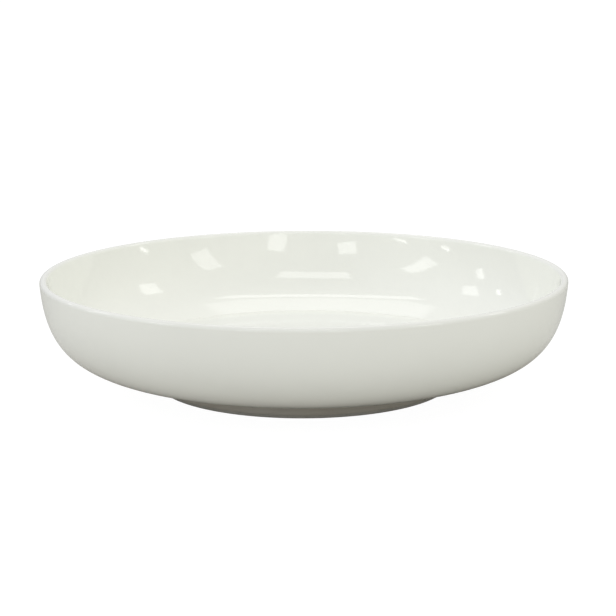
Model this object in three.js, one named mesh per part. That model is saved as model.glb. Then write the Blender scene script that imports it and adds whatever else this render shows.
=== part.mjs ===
import * as THREE from 'three';

// Deep coupe plate of glazed porcelain, in millimetres, standing on z = 0 with its axis on +Z

// Overall sizes, measured over the glaze
const rimRadius = 120;
const plateHeight = 51;
const lipThickness = 3.4;
const floorThickness = 5.2;

// Outer curve of the wall: it leaves the flat base level and leans out a little at the lip
const baseReach = 35;
const rimReach = 28;
const rimLean = THREE.MathUtils.degToRad(4.2);
const taperPower = 4;

// Well: below this share of the wall a straight flank runs down to a rounded corner at the flat floor
const flankShare = 0.36;
const wellCorner = 4;

// Foot ring, measured over the glaze: both sides spread towards the root
const footHeight = 9.2;
const footRadius = 67.9;
const footLand = 5;
const footDraft = THREE.MathUtils.degToRad(10);
const footEdgeRadius = 0.9;

// Glaze coats: they pool in the corners at the foot's root and stop short of the bare standing face
const glazeThickness = 0.35;
const poolRadius = 2;
const bareBand = 0.7;

// Flat land of the base that shows outside the foot's root
const baseMargin = 0.8;

// Zone in which two fired layers have melted together, left open between their solids
const fusedLayer = 0.05;

// Steps that round forms are drawn with
const turnSteps = 60;
const wallSteps = 10;
const innerSteps = 8;
const lipSteps = 3;
const cornerSteps = 3;

// Section points nearer than this are one point
const samePoint = 0.0005;

// Share of the wall over which the flank's slope is taken
const slopeStep = 0.001;

const coat = glazeThickness + fusedLayer;
const lipRadius = lipThickness / 2;
const glazeStop = footEdgeRadius + bareBand;
const straightUp = Math.PI / 2;
const straightDown = -Math.PI / 2;

// Points of an arc, both ends included
function arc(centre, radius, startAngle, endAngle, steps) {
  const points = [];
  for (let step = 0; step <= steps; step += 1) {
    const angle = THREE.MathUtils.lerp(startAngle, endAngle, step / steps);
    points.push(new THREE.Vector2(centre.x + radius * Math.cos(angle), centre.y + radius * Math.sin(angle)));
  }
  return points;
}

// Foot ring section: side 1 is the outer face, side -1 the inner one

function footEdge(side) {
  return side > 0 ? footRadius : footRadius - footLand;
}

function footNormal(side) {
  return new THREE.Vector2(side * Math.cos(footDraft), -Math.sin(footDraft));
}

// Point at a height on a foot face that lies a given depth under the glazed face
function footPoint(side, depth, height) {
  const normal = footNormal(side);
  const edge = new THREE.Vector2(footEdge(side) - normal.x * depth, -normal.y * depth);
  const rise = height - edge.y;
  return new THREE.Vector2(edge.x + side * rise * Math.tan(footDraft), height);
}

// Glaze pooled between a foot face and the base, from the foot up to the base
function poolArc(side) {
  const height = footHeight - poolRadius;
  const centre = footPoint(side, -poolRadius, height);
  const facing = side > 0 ? Math.PI - footDraft : footDraft;
  return arc(centre, poolRadius, facing, straightUp, cornerSteps);
}

// Rounded bare edge between a clay foot face and the standing face, from the face down to the floor
function standingArc(side) {
  const centre = footPoint(side, coat + footEdgeRadius, footEdgeRadius);
  const facing = side > 0 ? -footDraft : footDraft - Math.PI;
  return arc(centre, footEdgeRadius, facing, straightDown, cornerSteps);
}

// Wall section: the outer curve, and faces at a depth under the outer or the inner glazed face

const baseRadius = poolArc(1).at(-1).x + baseMargin;
const rimPoint = new THREE.Vector2(
  rimRadius - lipRadius * (1 - Math.cos(rimLean)),
  plateHeight - lipRadius * (1 + Math.sin(rimLean)),
);
const wallCurve = new THREE.CubicBezierCurve(
  new THREE.Vector2(baseRadius, footHeight),
  new THREE.Vector2(baseRadius + baseReach, footHeight),
  new THREE.Vector2(rimPoint.x - rimReach * Math.sin(rimLean), rimPoint.y - rimReach * Math.cos(rimLean)),
  rimPoint,
);

function wallPoint(share, depth) {
  const point = wallCurve.getPoint(share);
  const tangent = wallCurve.getTangent(share);
  return new THREE.Vector2(point.x - tangent.y * depth, point.y + tangent.x * depth);
}

// The wall keeps the floor's thickness round the cove, and thins ever faster towards the lip
function wallThickness(share) {
  return THREE.MathUtils.lerp(floorThickness, lipThickness, share ** taperPower);
}

function wallShares(first, steps) {
  return Array.from({ length: steps + 1 }, (_, step) => THREE.MathUtils.lerp(first, 1, step / steps));
}

function outerWall(depth) {
  return wallShares(0, wallSteps).map((share) => wallPoint(share, depth));
}

function innerPoint(share, depth) {
  return wallPoint(share, wallThickness(share) - depth);
}

// Height of the well floor's faces at a depth under the glazed one
function floorHeight(depth) {
  return footHeight + floorThickness - depth;
}

// The flat well turns up round a corner into the flank, which runs on into the wall
function innerWall(depth) {
  const wall = wallShares(flankShare, innerSteps).map((share) => innerPoint(share, depth));
  const run = innerPoint(flankShare + slopeStep, 0).sub(innerPoint(flankShare, 0)).normalize();
  const radius = wellCorner + depth;
  const centre = new THREE.Vector2(wall[0].x - run.y * radius, wall[0].y + run.x * radius);
  centre.addScaledVector(run, (floorHeight(depth) + radius - centre.y) / run.y);
  return [...arc(centre, radius, straightDown, straightDown + run.angle(), cornerSteps), ...wall];
}

// Lip section: a round nose, whose coats meet at the crest
const lipCentre = wallPoint(1, lipRadius);
const outerLipAngle = -rimLean;
const innerLipAngle = Math.PI - rimLean;
const seamAngle = fusedLayer / 2 / lipRadius;

function lipArc(depth, startAngle, endAngle) {
  return arc(lipCentre, lipRadius - depth, startAngle, endAngle, lipSteps);
}

function onAxis(height) {
  return new THREE.Vector2(0, height);
}

// Turns a section, drawn anticlockwise, into a named mesh with its axis on +Z
function turnedMesh(name, section, material) {
  const apart = (point, index) => index === 0 || point.distanceTo(section[index - 1]) > samePoint;
  const geometry = new THREE.LatheGeometry(section.filter(apart), turnSteps);
  geometry.rotateX(straightUp);
  const mesh = new THREE.Mesh(geometry, material);
  mesh.name = name;
  return mesh;
}

// Closed ring section: the last point meets the first
function closed(section) {
  return [...section, section[0].clone()];
}

function biscuit() {
  return new THREE.MeshStandardMaterial({ color: 0xded8ca, roughness: 0.85, metalness: 0 });
}

function ivoryGlaze() {
  return new THREE.MeshStandardMaterial({ color: 0xe9eadf, roughness: 0.12, metalness: 0 });
}

// Clay shell: flat base, wall, lip and well floor
function plateBody() {
  const section = [
    onAxis(footHeight + coat),
    ...outerWall(coat),
    ...lipArc(coat, outerLipAngle, straightUp),
    ...lipArc(coat, straightUp, innerLipAngle),
    ...innerWall(coat).reverse(),
    onAxis(floorHeight(coat)),
  ];
  return turnedMesh('plate_body', section, biscuit());
}

// Clay ring under the base, with a rounded bare edge to stand on
function footRing() {
  const rootHeight = footHeight + glazeThickness;
  const section = closed([
    ...standingArc(-1),
    ...standingArc(1).reverse(),
    footPoint(1, coat, rootHeight),
    footPoint(-1, coat, rootHeight),
  ]);
  return turnedMesh('foot_ring', section, biscuit());
}

// Coat of the eating side, from the middle of the well to the crest of the lip
function insideGlaze() {
  const crest = straightUp + seamAngle;
  const section = [
    onAxis(floorHeight(glazeThickness)),
    ...innerWall(glazeThickness),
    ...lipArc(glazeThickness, innerLipAngle, crest),
    ...lipArc(0, crest, innerLipAngle),
    ...innerWall(0).reverse(),
    onAxis(floorHeight(0)),
  ];
  return turnedMesh('inside_glaze', section, ivoryGlaze());
}

// Coat of the back, from the foot's outer side up the wall to the crest of the lip
function outsideGlaze() {
  const crest = straightUp - seamAngle;
  const section = closed([
    footPoint(1, 0, glazeStop),
    ...poolArc(1),
    ...outerWall(0),
    ...lipArc(0, outerLipAngle, crest),
    ...lipArc(glazeThickness, crest, outerLipAngle),
    ...outerWall(glazeThickness).reverse(),
    footPoint(1, glazeThickness, footHeight + glazeThickness),
    footPoint(1, glazeThickness, glazeStop),
  ]);
  return turnedMesh('outside_glaze', section, ivoryGlaze());
}

// Coat inside the foot ring, from the middle of the base down the foot's inner side
function undersideGlaze() {
  const section = [
    onAxis(footHeight),
    ...poolArc(-1).reverse(),
    footPoint(-1, 0, glazeStop),
    footPoint(-1, glazeThickness, glazeStop),
    footPoint(-1, glazeThickness, footHeight + glazeThickness),
    onAxis(footHeight + glazeThickness),
  ];
  return turnedMesh('underside_glaze', section, ivoryGlaze());
}

const plate = new THREE.Group();
plate.add(plateBody(), footRing(), insideGlaze(), outsideGlaze(), undersideGlaze());

export default plate;
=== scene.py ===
from math import atan2, cos, hypot, pi, radians, sin, tan
import bmesh
import bpy
from mathutils import Matrix, Vector


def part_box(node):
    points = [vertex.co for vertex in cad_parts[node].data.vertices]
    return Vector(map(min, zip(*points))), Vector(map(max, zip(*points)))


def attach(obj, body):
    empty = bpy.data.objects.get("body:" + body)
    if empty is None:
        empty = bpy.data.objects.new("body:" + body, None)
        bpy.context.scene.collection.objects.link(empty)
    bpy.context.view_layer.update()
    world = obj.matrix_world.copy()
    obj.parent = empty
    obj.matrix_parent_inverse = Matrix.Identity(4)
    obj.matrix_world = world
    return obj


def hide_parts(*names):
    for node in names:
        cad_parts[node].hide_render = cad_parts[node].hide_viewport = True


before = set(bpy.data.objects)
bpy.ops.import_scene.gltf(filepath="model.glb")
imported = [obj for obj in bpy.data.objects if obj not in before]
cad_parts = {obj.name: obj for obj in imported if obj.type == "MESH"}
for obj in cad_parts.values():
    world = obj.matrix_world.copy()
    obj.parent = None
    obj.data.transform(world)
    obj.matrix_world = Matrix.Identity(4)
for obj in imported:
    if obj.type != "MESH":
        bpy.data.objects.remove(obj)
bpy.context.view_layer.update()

bpy.ops.object.select_all(action="DESELECT")
mm = 0.001
print("frame loaded:", ", ".join(sorted(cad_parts)))


# section of the plate, as radius and height, shared by all the pieces
plate = {
    "rimRadius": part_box("outside_glaze")[1].x,
    "height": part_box("outside_glaze")[1].z,
    "lipThickness": 3.4 * mm,
    "floorThickness": 5.2 * mm,
    "baseReach": 35 * mm,  # how far the wall runs level from the base
    "rimReach": 28 * mm,  # how far it runs straight down from the lip
    "rimLean": radians(4.2),
    "taperPower": 4,  # the wall thins ever faster towards the lip
    "flankShare": 0.36,  # below this share of the wall a straight flank runs down to the well
    "slopeStep": 0.001,  # share of the wall over which the flank takes its slope
    "wellCorner": 4 * mm,
    "footHeight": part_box("underside_glaze")[1].z - 0.35 * mm,
    "footRadius": 67.9 * mm,
    "footLand": 5 * mm,
    "footDraft": radians(10),
    "poolRadius": 2 * mm,  # glaze pooled in the foot's corners
    "baseMargin": 0.8 * mm,
    "glazeStop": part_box("outside_glaze")[0].z,  # the foot is wiped bare below this
    "glaze": 0.35 * mm,
    "coat": 0.4 * mm,  # the glaze and the zone it has melted into
    "turnSteps": 240,
    "samePoint": 0.0005 * mm,  # points nearer than this are one
    "ringReach": 0.01 * mm,  # how near to a corner its ring is looked for
    "smoothAngle": radians(35),  # sharper edges stay crisp
}
lipRadius = plate["lipThickness"] / 2
lean = plate["rimLean"]


def between(low, high, share):
    return low + (high - low) * share


def arcLine(centre, radius, start, end, steps):
    angles = [between(start, end, step / steps) for step in range(steps + 1)]
    return [centre + radius * Vector((cos(angle), sin(angle))) for angle in angles]


def straightLine(start, end, steps):
    return [start.lerp(end, step / steps) for step in range(steps + 1)]


# side 1 is the foot's outer face, side -1 the inner one; depth goes in under the glazed face
def footPoint(side, depth, height):
    draft = plate["footDraft"]
    edge = plate["footRadius"] if side > 0 else plate["footRadius"] - plate["footLand"]
    start = Vector((edge - side * cos(draft) * depth, sin(draft) * depth))
    return Vector((start.x + side * (height - start.y) * tan(draft), height))


def poolArc(side, steps):
    radius, draft = plate["poolRadius"], plate["footDraft"]
    centre = footPoint(side, -radius, plate["footHeight"] - radius)
    facing = pi - draft if side > 0 else draft
    return arcLine(centre, radius, facing, pi / 2, steps)


# outer curve of the wall: level at the base, leaning out a little at the lip
baseRadius = poolArc(1, 1)[-1].x + plate["baseMargin"]
rimPoint = Vector((
    plate["rimRadius"] - lipRadius * (1 - cos(lean)),
    plate["height"] - lipRadius * (1 + sin(lean)),
))
wallHandles = [
    Vector((baseRadius, plate["footHeight"])),
    Vector((baseRadius + plate["baseReach"], plate["footHeight"])),
    rimPoint - plate["rimReach"] * Vector((sin(lean), cos(lean))),
    rimPoint,
]


def wallPoint(share, depth):
    start, level, upright, end = wallHandles
    left = 1 - share
    point = left ** 3 * start + 3 * left ** 2 * share * level
    point += 3 * left * share ** 2 * upright + share ** 3 * end
    run = left ** 2 * (level - start) + 2 * left * share * (upright - level)
    run = (run + share ** 2 * (end - upright)).normalized()
    return point + depth * Vector((-run.y, run.x))


def outerWall(depth, steps):
    return [wallPoint(step / steps, depth) for step in range(steps + 1)]


def wellHeight(depth):
    return plate["footHeight"] + plate["floorThickness"] - depth


def innerFace(share, depth):
    thickness = between(plate["floorThickness"], plate["lipThickness"], share ** plate["taperPower"])
    return wallPoint(share, thickness - depth)


# the flat well turns up round a corner into the flank, which runs on into the wall
def innerWall(depth, steps):
    first, radius = plate["flankShare"], plate["wellCorner"] + depth
    wall = [innerFace(between(first, 1, step / steps), depth) for step in range(steps + 1)]
    run = (innerFace(first + plate["slopeStep"], 0) - innerFace(first, 0)).normalized()
    centre = wall[0] + radius * Vector((-run.y, run.x))
    centre += run * (wellHeight(depth) + radius - centre.y) / run.y
    return [*arcLine(centre, radius, -pi / 2, atan2(run.y, run.x) - pi / 2, steps // 4), *wall]


# round nose of the lip; the inside and outside coats meet at its crest
lipCentre = wallPoint(1, lipRadius)
lipCrest = pi / 2
lipOut = -lean
lipIn = pi - lean


def lipArc(depth, start, end, steps):
    return arcLine(lipCentre, lipRadius - depth, start, end, steps)


def onAxis(height):
    return Vector((0, height))


# draws a section point by point, turns it round the plate's axis and closes it
def turnSection(name, section):
    bpy.ops.object.select_all(action="DESELECT")
    bpy.ops.mesh.primitive_plane_add(size=mm, location=(0, 0, 0))
    piece = bpy.context.object
    piece.name = piece.data.name = name
    bpy.ops.object.mode_set(mode="EDIT")
    bpy.ops.mesh.select_mode(type="VERT")
    bpy.ops.mesh.select_all(action="SELECT")
    bpy.ops.mesh.merge(type="CENTER")  # one point to draw with
    bpy.ops.transform.translate(value=(section[0].x, 0, section[0].y))
    last = section[0]
    for point in section[1:]:
        step = point - last
        if step.length > plate["samePoint"]:
            bpy.ops.mesh.extrude_region_move(TRANSFORM_OT_translate={"value": (step.x, 0, step.y)})
            last = point
    bpy.ops.mesh.select_all(action="SELECT")
    bpy.ops.mesh.spin(steps=plate["turnSteps"], angle=2 * pi, center=(0, 0, 0), axis=(0, 0, 1))
    bpy.ops.mesh.select_all(action="SELECT")
    bpy.ops.mesh.remove_doubles(threshold=plate["samePoint"])
    bpy.ops.mesh.normals_make_consistent(inside=False)
    return piece


# rounds the sharp ring that runs through one point of the section
def roundRing(piece, corner, width, segments):
    bpy.ops.mesh.select_mode(type="EDGE")
    bpy.ops.mesh.select_all(action="DESELECT")
    mesh = bmesh.from_edit_mesh(piece.data)
    for edge in mesh.edges:
        spots = [Vector((hypot(v.co.x, v.co.y), v.co.z)) for v in edge.verts]
        edge.select = all((spot - corner).length < plate["ringReach"] for spot in spots)
    bmesh.update_edit_mesh(piece.data)
    bpy.ops.mesh.bevel(offset=width, offset_type="OFFSET", segments=segments, affect="EDGES")


def finishPiece(piece, node, material):
    bpy.ops.object.mode_set(mode="OBJECT")
    bpy.ops.object.shade_smooth_by_angle(angle=plate["smoothAngle"])
    bpy.ops.object.modifier_add(type="WEIGHTED_NORMAL")  # keeps wide flats flat beside small roundings
    normals = piece.modifiers[-1]
    normals.keep_sharp = True
    bpy.ops.object.modifier_apply(modifier=normals.name)
    piece.data.materials.clear()
    piece.data.materials.append(material)
    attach(piece, "root")
    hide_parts(node)
    print("made", piece.name, "with", len(piece.data.polygons), "faces")


# helpers for nodes: an input is a socket to link or a value to set
def addNode(tree, kind, inputs, **settings):
    node = tree.nodes.new(kind)
    for key, value in settings.items():
        setattr(node, key, value)
    for key, value in inputs.items():
        if isinstance(value, bpy.types.NodeSocket):
            tree.links.new(value, node.inputs[key])
        else:
            node.inputs[key].default_value = value
    return node


def calc(tree, operation, *values):
    return addNode(tree, "ShaderNodeMath", dict(enumerate(values)), operation=operation).outputs[0]


def ramp(tree, value, low, high, toLow=0.0, toHigh=1.0):
    inputs = {"Value": value, "From Min": low, "From Max": high, "To Min": toLow, "To Max": toHigh}
    return addNode(tree, "ShaderNodeMapRange", inputs, interpolation_type="SMOOTHSTEP").outputs[0]


# inputs 6 and 7 and output 2 are the mix node's color sockets
def mixColors(tree, share, first, second):
    return addNode(tree, "ShaderNodeMix", {0: share, 6: first, 7: second}, data_type="RGBA").outputs[2]


def noise(tree, vector, scale, detail):
    inputs = {"Vector": vector, "Scale": scale, "Detail": detail}
    return addNode(tree, "ShaderNodeTexNoise", inputs).outputs[0]


# the last word of a socket's name says whether it is a color, a vector or a number
def newGroup(name, inputs, outputs):
    kinds = {"Color": "NodeSocketColor", "Vector": "NodeSocketVector"}
    tree = bpy.data.node_groups.new(name, "ShaderNodeTree")
    for direction, names in (("INPUT", inputs), ("OUTPUT", outputs)):
        for socketName in names:
            kind = kinds.get(socketName.split()[-1], "NodeSocketFloat")
            tree.interface.new_socket(socketName, in_out=direction, socket_type=kind)
    return tree, tree.nodes.new("NodeGroupInput").outputs, tree.nodes.new("NodeGroupOutput").inputs


# distance from the plate's axis
def axisDistance(tree, vector):
    flat = {0: vector, 1: (1, 1, 0)}
    flat = addNode(tree, "ShaderNodeVectorMath", flat, operation="MULTIPLY").outputs[0]
    return addNode(tree, "ShaderNodeVectorMath", {0: flat}, operation="LENGTH").outputs["Value"]


# glaze: deeper where it has run and pooled, and painted darker there as painted shade in the well and on
# the foot; painted darker over the top of the lip as painted shade, where the glaze is thin; with clouds,
# specks and slow waves;
# a noise is scale and detail, a spread is from low, from high, to low, to high
glazeNature = {
    "clouds": (16.0, 3.0),
    "cloudPool": (0.2, 0.8, 0.6, 1.0),  # how far clouds break up the pools
    "cloudShade": (0.25, 0.75, 0.988, 1.012),
    "speckCells": 170.0,
    "speckSize": (0.045, 0.02),
    "speckChoice": (0.6, 0.9, 0.0, 0.2),  # only a few cells carry a speck
    "haze": (48.0, 3.1),
    "hazeGloss": (0.3, 0.7, -0.012, 0.018),
    "slowWaves": (38.0, 1.0),
    "fineWaves": (150.0, 1.0),
    "fineShare": 0.16,
    "turningRings": {"Scale": 190.0, "Detail": 1.0},
    "ringShare": 0.05,
}


def makeGlazeGroup():
    tree, given, result = newGroup(
        "glazeDepthAndShade",
        ["Vector", "Glaze Color", "Pool Color", "Lip Color", "Speck Color",
         "Pool Top", "Pool Bottom", "Pool Edge", "Pool Heart", "Lip Bottom", "Lip Top", "Gloss Roughness"],
        ["Color", "Roughness", "Height"],
    )
    vector = given["Vector"]
    height = addNode(tree, "ShaderNodeSeparateXYZ", {0: vector}).outputs["Z"]
    clouds = noise(tree, vector, *glazeNature["clouds"])
    spread = axisDistance(tree, vector)
    # the pool mask darkens the deeper glaze, and paints shade low in the well and down the foot
    pool = ramp(tree, height, given["Pool Top"], given["Pool Bottom"])
    pool = calc(tree, "MULTIPLY", pool, ramp(tree, spread, given["Pool Edge"], given["Pool Heart"]))
    pool = calc(tree, "MULTIPLY", pool, ramp(tree, clouds, *glazeNature["cloudPool"]))
    # painted shade: the lip mask paints the top of the lip darker, where the glaze is also thin
    lipShade = ramp(tree, height, given["Lip Bottom"], given["Lip Top"])
    tone = mixColors(tree, pool, given["Glaze Color"], given["Pool Color"])
    tone = mixColors(tree, lipShade, tone, given["Lip Color"])
    shade = ramp(tree, clouds, *glazeNature["cloudShade"])
    tone = addNode(tree, "ShaderNodeHueSaturation", {"Value": shade, "Color": tone}).outputs[0]
    # a few fine specks that came up through the glaze
    cells = {"Vector": vector, "Scale": glazeNature["speckCells"]}
    cells = addNode(tree, "ShaderNodeTexVoronoi", cells).outputs
    chosen = addNode(tree, "ShaderNodeSeparateColor", {0: cells["Color"]}).outputs[0]
    speck = ramp(tree, cells["Distance"], *glazeNature["speckSize"])
    speck = calc(tree, "MULTIPLY", speck, ramp(tree, chosen, *glazeNature["speckChoice"]))
    tree.links.new(mixColors(tree, speck, tone, given["Speck Color"]), result["Color"])
    haze = ramp(tree, noise(tree, vector, *glazeNature["haze"]), *glazeNature["hazeGloss"])
    tree.links.new(calc(tree, "ADD", given["Gloss Roughness"], haze), result["Roughness"])
    # slow waves, and faint rings left by turning
    path = calc(tree, "ADD", spread, height)
    rings = {"W": path, **glazeNature["turningRings"]}
    rings = addNode(tree, "ShaderNodeTexNoise", rings, noise_dimensions="1D").outputs[0]
    slow, fine = (noise(tree, vector, *glazeNature[kind]) for kind in ("slowWaves", "fineWaves"))
    waves = calc(tree, "MULTIPLY_ADD", fine, glazeNature["fineShare"], slow)
    tree.links.new(calc(tree, "MULTIPLY_ADD", rings, glazeNature["ringShare"], waves), result["Height"])
    return tree


# biscuit: fired clay with grain, darker grog and a rubbed, greyer face where it stands
biscuitNature = {
    "grain": (900.0, 5.0),
    "grainGrog": (0.56, 0.72, 0.0, 0.45),
    "grainDry": (0.3, 0.7, 0.74, 0.9),
    "patches": (55.0, 3.0),
    "patchGrog": (0.35, 0.75, 0.0, 0.35),
    "patchHeight": 0.4,
    "rubbing": (210.0, 3.1),
    "rubbed": (0.42, 0.62, 0.1, 0.8),
    "rubPolish": -0.16,
}


def makeBiscuitGroup():
    tree, given, result = newGroup(
        "biscuitGrain",
        ["Vector", "Clay Color", "Grog Color", "Rub Color", "Rub Top", "Rub Bottom"],
        ["Color", "Roughness", "Height"],
    )
    vector = given["Vector"]
    height = addNode(tree, "ShaderNodeSeparateXYZ", {0: vector}).outputs["Z"]
    grain = noise(tree, vector, *biscuitNature["grain"])
    patches = noise(tree, vector, *biscuitNature["patches"])
    grog = given["Grog Color"]
    tone = mixColors(tree, ramp(tree, patches, *biscuitNature["patchGrog"]), given["Clay Color"], grog)
    tone = mixColors(tree, ramp(tree, grain, *biscuitNature["grainGrog"]), tone, grog)
    uneven = ramp(tree, noise(tree, vector, *biscuitNature["rubbing"]), *biscuitNature["rubbed"])
    rubbed = ramp(tree, height, given["Rub Top"], given["Rub Bottom"])
    rubbed = calc(tree, "MULTIPLY", rubbed, uneven)
    tree.links.new(mixColors(tree, rubbed, tone, given["Rub Color"]), result["Color"])
    dry = ramp(tree, grain, *biscuitNature["grainDry"])
    dry = calc(tree, "MULTIPLY_ADD", rubbed, biscuitNature["rubPolish"], dry)
    tree.links.new(dry, result["Roughness"])
    relief = calc(tree, "MULTIPLY_ADD", patches, biscuitNature["patchHeight"], grain)
    tree.links.new(relief, result["Height"])
    return tree


def makeMaterial(name, group, values, bumpDistance, settings):
    material = bpy.data.materials.new(name)
    material.use_nodes = True
    tree = material.node_tree
    tree.nodes.clear()
    place = tree.nodes.new("ShaderNodeTexCoord").outputs["Object"]
    effect = tree.nodes.new("ShaderNodeGroup")
    effect.node_tree = group
    tree.links.new(place, effect.inputs["Vector"])
    for key, value in values.items():
        effect.inputs[key].default_value = value
    bump = {"Height": effect.outputs["Height"], "Distance": bumpDistance}
    bump = addNode(tree, "ShaderNodeBump", bump).outputs[0]
    finish = {
        "Base Color": effect.outputs["Color"],
        "Roughness": effect.outputs["Roughness"],
        "Normal": bump,
    }
    shader = addNode(tree, "ShaderNodeBsdfPrincipled", {**finish, **settings})
    output = tree.nodes.new("ShaderNodeOutputMaterial")
    tree.links.new(shader.outputs[0], output.inputs["Surface"])
    return material


glazeDepthAndShade = makeGlazeGroup()
biscuitGrain = makeBiscuitGroup()
glazeShine = {"IOR": 1.52}
glazeRelief = 0.05 * mm
clayDull = {"IOR": 1.45, "Specular IOR Level": 0.3}
clayRelief = 0.06 * mm
ivory = (0.832, 0.843, 0.79, 1)
speckBrown = (0.45, 0.38, 0.26, 1)
print("glaze and biscuit node groups made")


# clay shell under the coats
shell = {
    "wallSteps": 32,
    "lipSteps": 8,
    "floorRings": 6,
    "look": {
        "Clay Color": (0.74, 0.71, 0.63, 1), "Grog Color": (0.58, 0.53, 0.44, 1),
        "Rub Color": (0.5, 0.48, 0.44, 1), "Rub Top": 0.0, "Rub Bottom": -1 * mm,
    },
}


def makeShell():
    depth = plate["coat"]
    under, over = outerWall(depth, shell["wallSteps"]), innerWall(depth, shell["wallSteps"])
    section = [
        *straightLine(onAxis(plate["footHeight"] + depth), under[0], shell["floorRings"]),
        *under,
        *lipArc(depth, lipOut, lipIn, 2 * shell["lipSteps"]),
        *reversed(over),
        *straightLine(over[0], onAxis(wellHeight(depth)), shell["floorRings"]),
    ]
    piece = turnSection("clayShell", section)
    material = makeMaterial("biscuit", biscuitGrain, shell["look"], clayRelief, clayDull)
    finishPiece(piece, "plate_body", material)


# clay foot with its bare, rounded standing edge
foot = {
    "edgeRadius": 0.9 * mm,
    "edgeSegments": 8,
    "sideSteps": 4,
    "look": {
        # painted shade: the bare clay is painted darker than the shell's, for the shade round the foot;
        # the rubbed face where it stands is wear
        "Clay Color": (0.57, 0.56, 0.51, 1), "Grog Color": (0.46, 0.44, 0.385, 1),
        "Rub Color": (0.40, 0.40, 0.38, 1), "Rub Top": 0.5 * mm, "Rub Bottom": 0.05 * mm,
    },
}


def makeFoot():
    depth, rootHeight = plate["coat"], plate["footHeight"] + plate["glaze"]
    outerToe, innerToe = footPoint(1, depth, 0), footPoint(-1, depth, 0)
    section = [
        *straightLine(innerToe, outerToe, 2),
        *straightLine(outerToe, footPoint(1, depth, rootHeight), foot["sideSteps"]),
        *straightLine(footPoint(-1, depth, rootHeight), innerToe, foot["sideSteps"]),
    ]
    piece = turnSection("clayFoot", section)
    edgeWidth = foot["edgeRadius"] / tan((pi / 2 + plate["footDraft"]) / 2)
    for toe in (outerToe, innerToe):
        roundRing(piece, toe, edgeWidth, foot["edgeSegments"])
    material = makeMaterial("footBiscuit", biscuitGrain, foot["look"], clayRelief, clayDull)
    finishPiece(piece, "foot_ring", material)


# coat of the eating side, from the middle of the well to the crest of the lip
inside = {
    "wallSteps": 56,
    "hiddenSteps": 28,
    "lipSteps": 16,
    "floorRings": 7,
    "look": {
        # painted light and shade: the glaze is painted a little lighter than the outside's ivory, and the
        # top of the lip darker
        "Glaze Color": (0.853, 0.862, 0.804, 1), "Pool Color": (0.783, 0.792, 0.751, 1),
        "Lip Color": (0.785, 0.79, 0.744, 1), "Speck Color": speckBrown,
        "Pool Top": 17 * mm, "Pool Bottom": 14.5 * mm,
        "Pool Edge": 89 * mm, "Pool Heart": 77 * mm,  # painted shade: the well is painted darker towards its middle, with deeper glaze there
        "Lip Bottom": 49.6 * mm, "Lip Top": 50.9 * mm, "Gloss Roughness": 0.05,
    },
}


def makeInside():
    glaze = plate["glaze"]
    face, back = innerWall(0, inside["wallSteps"]), innerWall(glaze, inside["hiddenSteps"])
    section = [
        *straightLine(onAxis(wellHeight(0)), face[0], inside["floorRings"]),
        *face,
        *lipArc(0, lipIn, lipCrest, inside["lipSteps"]),
        *lipArc(glaze, lipCrest, lipIn, inside["lipSteps"] // 2),
        *reversed(back),
        *straightLine(back[0], onAxis(wellHeight(glaze)), inside["floorRings"]),
    ]
    piece = turnSection("insideGlaze", section)
    material = makeMaterial("insideGlaze", glazeDepthAndShade, inside["look"], glazeRelief, glazeShine)
    finishPiece(piece, "inside_glaze", material)


# coat of the back, from the crest of the lip down to the bare edge of the foot
outside = {
    "wallSteps": 56,
    "hiddenSteps": 28,
    "lipSteps": 16,
    "poolSteps": 10,
    "sideSteps": 12,
    "roll": 0.1 * mm,  # the glaze swells a little above its lower edge
    "rollHeight": 1.8 * mm,
    "beadWidth": 0.24 * mm,
    "beadSegments": 5,
    "look": {
        # painted shade: the foot's side is painted dark with the pool colour, over a darker glaze there,
        # and the outer nose of the lip is painted darker
        "Glaze Color": ivory, "Pool Color": (0.64, 0.60, 0.515, 1),
        "Lip Color": (0.757, 0.761, 0.717, 1), "Speck Color": speckBrown,
        "Pool Top": 9.6 * mm, "Pool Bottom": 8 * mm,
        "Pool Edge": 120 * mm, "Pool Heart": 100 * mm,
        "Lip Bottom": 49.2 * mm, "Lip Top": 50.6 * mm, "Gloss Roughness": 0.085,
    },
}


# glazed side of the foot, from the bare edge up to the pooled corner
def footSide(side, steps):
    low, high = plate["glazeStop"], poolArc(side, 1)[0].y
    points = []
    for step in range(steps + 1):
        height = between(low, high, step / steps)
        swell = min((height - low) / outside["rollHeight"], 1)
        points.append(footPoint(side, -outside["roll"] * sin(pi * swell) ** 2, height))
    return points


def makeOutside():
    glaze = plate["glaze"]
    section = [
        *footSide(1, outside["sideSteps"]),
        *poolArc(1, outside["poolSteps"]),
        *outerWall(0, outside["wallSteps"]),
        *lipArc(0, lipOut, lipCrest, outside["lipSteps"]),
        *lipArc(glaze, lipCrest, lipOut, outside["lipSteps"] // 2),
        *reversed(outerWall(glaze, outside["hiddenSteps"])),
        footPoint(1, glaze, plate["footHeight"] + glaze),
        footPoint(1, glaze, plate["glazeStop"]),
        footPoint(1, 0, plate["glazeStop"]),
    ]
    piece = turnSection("outsideGlaze", section)
    roundRing(piece, section[0], outside["beadWidth"], outside["beadSegments"])
    material = makeMaterial("outsideGlaze", glazeDepthAndShade, outside["look"], glazeRelief, glazeShine)
    finishPiece(piece, "outside_glaze", material)


# coat inside the foot, from the middle of the base down to the bare edge
underside = {
    "baseRings": 6,
    "look": {
        "Glaze Color": ivory, "Pool Color": (0.76, 0.765, 0.69, 1),
        "Lip Color": ivory, "Speck Color": speckBrown,  # it doesn't reach the lip
        "Pool Top": 9.1 * mm, "Pool Bottom": 7 * mm,
        "Pool Edge": 120 * mm, "Pool Heart": 100 * mm,
        "Lip Bottom": 49.6 * mm, "Lip Top": 50.9 * mm, "Gloss Roughness": 0.095,
    },
}


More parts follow.
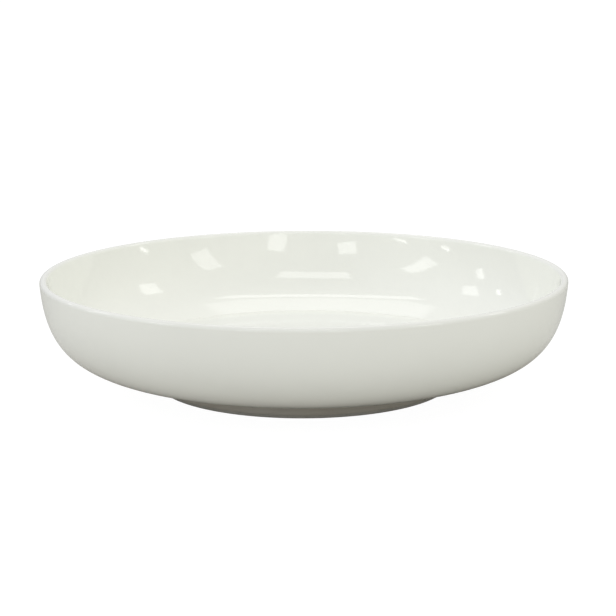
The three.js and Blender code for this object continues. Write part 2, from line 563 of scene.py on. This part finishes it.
def makeUnderside():
    glaze, base = plate["glaze"], plate["footHeight"]
    pool = poolArc(-1, outside["poolSteps"])
    section = [
        *straightLine(onAxis(base), pool[-1], underside["baseRings"]),
        *reversed(pool),
        *reversed(footSide(-1, outside["sideSteps"])),
        footPoint(-1, glaze, plate["glazeStop"]),
        footPoint(-1, glaze, base + glaze),
        *straightLine(footPoint(-1, glaze, base + glaze), onAxis(base + glaze), underside["baseRings"]),
    ]
    piece = turnSection("undersideGlaze", section)
    roundRing(piece, footPoint(-1, 0, plate["glazeStop"]), outside["beadWidth"], outside["beadSegments"])
    material = makeMaterial("undersideGlaze", glazeDepthAndShade, underside["look"], glazeRelief, glazeShine)
    finishPiece(piece, "underside_glaze", material)


makeShell()
makeFoot()
makeInside()
makeOutside()
makeUnderside()


# pale floor: the camera sees it nearly white, the plate gets a dimmer bounce from it
studio = {
    "floorSize": 40,
    "bounceColor": (0.62, 0.615, 0.585, 1),
    "shadeNearLeft": (0.575, 0.548, 0.512, 1),  # painted shade on the floor round the foot, darkest on the right
    "shadeNearRight": (0.425, 0.402, 0.368, 1),
    "nearSides": (-70 * mm, 70 * mm),
    "nearReach": (85 * mm, 150 * mm),
    "behindReach": (0, 140 * mm),  # all of the floor darkens towards the back
    "behindShade": 0.8,
    "openReach": (66.7 * mm, 66.6 * mm),  # left open under the foot, to light the underside
    "seenWhite": 0.97,  # what the camera sees: a white glow, and a little of the plate's shadow
    "seenShade": 0.1,
    "skyLow": 0.77,  # glow of the dome at the horizon and overhead
    "skyHigh": 0.665,
    "skySides": (-0.45, 2.0),  # to the sides and behind it starts dimmer and climbs faster
    "skyBack": (-0.1, 0.45),
    "leftTint": (1.02, 1.03, 1.07, 1),  # cooler light from the left, warmer from the right
    "rightTint": (0.985, 0.98, 0.945, 1),
}


def makeFloor():
    bpy.ops.object.select_all(action="DESELECT")
    bpy.ops.mesh.primitive_plane_add(size=studio["floorSize"], location=(0, 0, 0))
    floor = bpy.context.object
    floor.name = "studioFloor"
    material = bpy.data.materials.new("paleFloor")
    material.use_nodes = True
    tree = material.node_tree
    tree.nodes.clear()
    seenByCamera = tree.nodes.new("ShaderNodeLightPath").outputs["Is Camera Ray"]
    fromBelow = tree.nodes.new("ShaderNodeNewGeometry").outputs["Backfacing"]
    place = tree.nodes.new("ShaderNodeTexCoord").outputs["Object"]
    spread = axisDistance(tree, place)
    spot = addNode(tree, "ShaderNodeSeparateXYZ", {0: place}).outputs
    side = ramp(tree, spot["X"], *studio["nearSides"])
    near = mixColors(tree, side, studio["shadeNearLeft"], studio["shadeNearRight"])
    color = mixColors(tree, ramp(tree, spread, *studio["nearReach"]), near, studio["bounceColor"])
    behind = ramp(tree, spot["Y"], *studio["behindReach"], 1.0, studio["behindShade"])
    color = addNode(tree, "ShaderNodeHueSaturation", {"Value": behind, "Color": color}).outputs[0]
    bounce = addNode(tree, "ShaderNodeBsdfDiffuse", {"Color": color}).outputs[0]
    shadow = addNode(tree, "ShaderNodeBsdfDiffuse", {"Color": [studio["seenShade"]] * 3 + [1]}).outputs[0]
    white = addNode(tree, "ShaderNodeEmission", {"Strength": studio["seenWhite"]}).outputs[0]
    seen = addNode(tree, "ShaderNodeAddShader", {0: shadow, 1: white}).outputs[0]
    paint = addNode(tree, "ShaderNodeMixShader", {0: seenByCamera, 1: bounce, 2: seen}).outputs[0]
    clear = tree.nodes.new("ShaderNodeBsdfTransparent").outputs[0]
    opened = calc(tree, "MAXIMUM", fromBelow, ramp(tree, spread, *studio["openReach"]))
    sheet = addNode(tree, "ShaderNodeMixShader", {0: opened, 1: paint, 2: clear}).outputs[0]
    output = tree.nodes.new("ShaderNodeOutputMaterial")
    tree.links.new(sheet, output.inputs["Surface"])
    floor.data.materials.append(material)


def makeSky():
    world = bpy.data.worlds.new("softDome")
    world.use_nodes = True
    tree = world.node_tree
    tree.nodes.clear()
    seenByCamera = tree.nodes.new("ShaderNodeLightPath").outputs["Is Camera Ray"]
    direction = tree.nodes.new("ShaderNodeTexCoord").outputs["Generated"]
    parts = addNode(tree, "ShaderNodeSeparateXYZ", {0: direction}).outputs
    strength = ramp(tree, parts["Z"], 0.0, 1.0, studio["skyLow"], studio["skyHigh"])
    rise = calc(tree, "MAXIMUM", parts["Z"], 0.0)
    sideways = calc(tree, "MULTIPLY", parts["X"], parts["X"])
    behind = calc(tree, "MAXIMUM", parts["Y"], 0.0)
    for share, (first, climb) in ((sideways, studio["skySides"]), (behind, studio["skyBack"])):
        extra = calc(tree, "MULTIPLY_ADD", rise, climb, first)
        strength = calc(tree, "MULTIPLY_ADD", share, extra, strength)
    tint = mixColors(tree, ramp(tree, parts["X"], -1.0, 1.0), studio["leftTint"], studio["rightTint"])
    glow = addNode(tree, "ShaderNodeBackground", {"Color": tint, "Strength": strength}).outputs[0]
    white = addNode(tree, "ShaderNodeBackground", {"Color": (1, 1, 1, 1), "Strength": 1.0}).outputs[0]
    mixed = addNode(tree, "ShaderNodeMixShader", {0: seenByCamera, 1: glow, 2: white}).outputs[0]
    output = tree.nodes.new("ShaderNodeOutputWorld")
    tree.links.new(mixed, output.inputs["Surface"])
    bpy.context.scene.world = world


# softboxes round the table, which show as pale patches in the inside glaze: azimuth from
# the back towards the right, elevation, width and height in mm, tilt, brightness
lampDistance = 1.5
glowPower = 4  # watts that light a square metre of lamp to brightness 1
lampFocus = Vector((0, 0, 40 * mm))
lamps = {
    "frontRight": (166.5, 14.2, 222, 262, 14.0, 2.0),
    "frontLeft": (-157.8, 17.1, 232, 212, -11.0, 2.1),
    "rightFront": (127.5, 22.4, 262, 474, -12.0, 1.62),
    "leftFront": (-116.2, 25.0, 223, 472, 29.0, 2.12),
    "rightHigh": (78.9, 37.9, 228, 475, 35.0, 1.9),
    "leftHigh": (-70.9, 35.2, 388, 213, 38.0, 1.65),
    "leftLow": (-79.6, 16.3, 105, 207, -37.3, 2.4),
    "rightStrip": (95.1, 7.0, 118, 28, 30.7, 4.5),
    "frontStrip": (-130.9, 9.6, 182, 22, 8.1, 4.5),
    "leftStrip": (-105.4, 9.0, 130, 29, 7.9, 4.5),
    "leftSmall": (-58.8, 22.6, 152, 75, 38.8, 2.3),
    "topFront": (-173.1, 53.0, 789, 355, -0.5, 1.8),
    "topBack": (-8.0, 66.7, 885, 210, 12.0, 1.5),
    "backPanel": (-3.1, 52.5, 520, 315, 8.0, 0.62),
}


def makeLamps():
    for name, (azimuth, elevation, width, height, tilt, glow) in lamps.items():
        azimuth, elevation = radians(azimuth), radians(elevation)
        away = Vector((sin(azimuth) * cos(elevation), cos(azimuth) * cos(elevation), sin(elevation)))
        sideways = Vector((0, 0, 1)).cross(away).normalized()
        turn = Matrix((sideways, away.cross(sideways), away)).transposed().to_4x4()
        light = bpy.data.lights.new(name, "AREA")
        light.shape = "RECTANGLE"
        light.size, light.size_y = width * mm, height * mm
        light.energy = glowPower * glow * light.size * light.size_y
        lamp = bpy.data.objects.new(name, light)
        place = Matrix.Translation(lampFocus + lampDistance * away)
        lamp.matrix_world = place @ turn @ Matrix.Rotation(-radians(tilt), 4, "Z")
        lamp.visible_camera = False
        bpy.context.scene.collection.objects.link(lamp)


# camera at the photo's angle
view = {
    "elevation": radians(12.248),
    "distance": 835.5 * mm,
    "orbitHeight": 26.4 * mm,
    "aim": Vector((1.83, 0, 34.35)) * mm,
    "lens": 105.98,
    "roll": radians(-0.19),
    "sensorWidth": 36,
    "clipEnd": 100,
}


def makeCamera():
    bpy.ops.object.camera_add()
    camera = bpy.context.object
    camera.name = "photoCamera"
    back = Vector((0, -cos(view["elevation"]), sin(view["elevation"])))
    spot = Vector((0, 0, view["orbitHeight"])) + view["distance"] * back
    aim = (view["aim"] - spot).to_track_quat("-Z", "Y").to_matrix().to_4x4()
    camera.matrix_world = Matrix.Translation(spot) @ aim @ Matrix.Rotation(view["roll"], 4, "Z")
    camera.data.sensor_width = view["sensorWidth"]
    camera.data.lens = view["lens"]
    camera.data.clip_end = view["clipEnd"]
    bpy.context.scene.camera = camera


makeFloor()
makeSky()
makeLamps()
makeCamera()
bpy.context.scene.view_settings.view_transform = "Standard"
print("floor, lights and camera made")
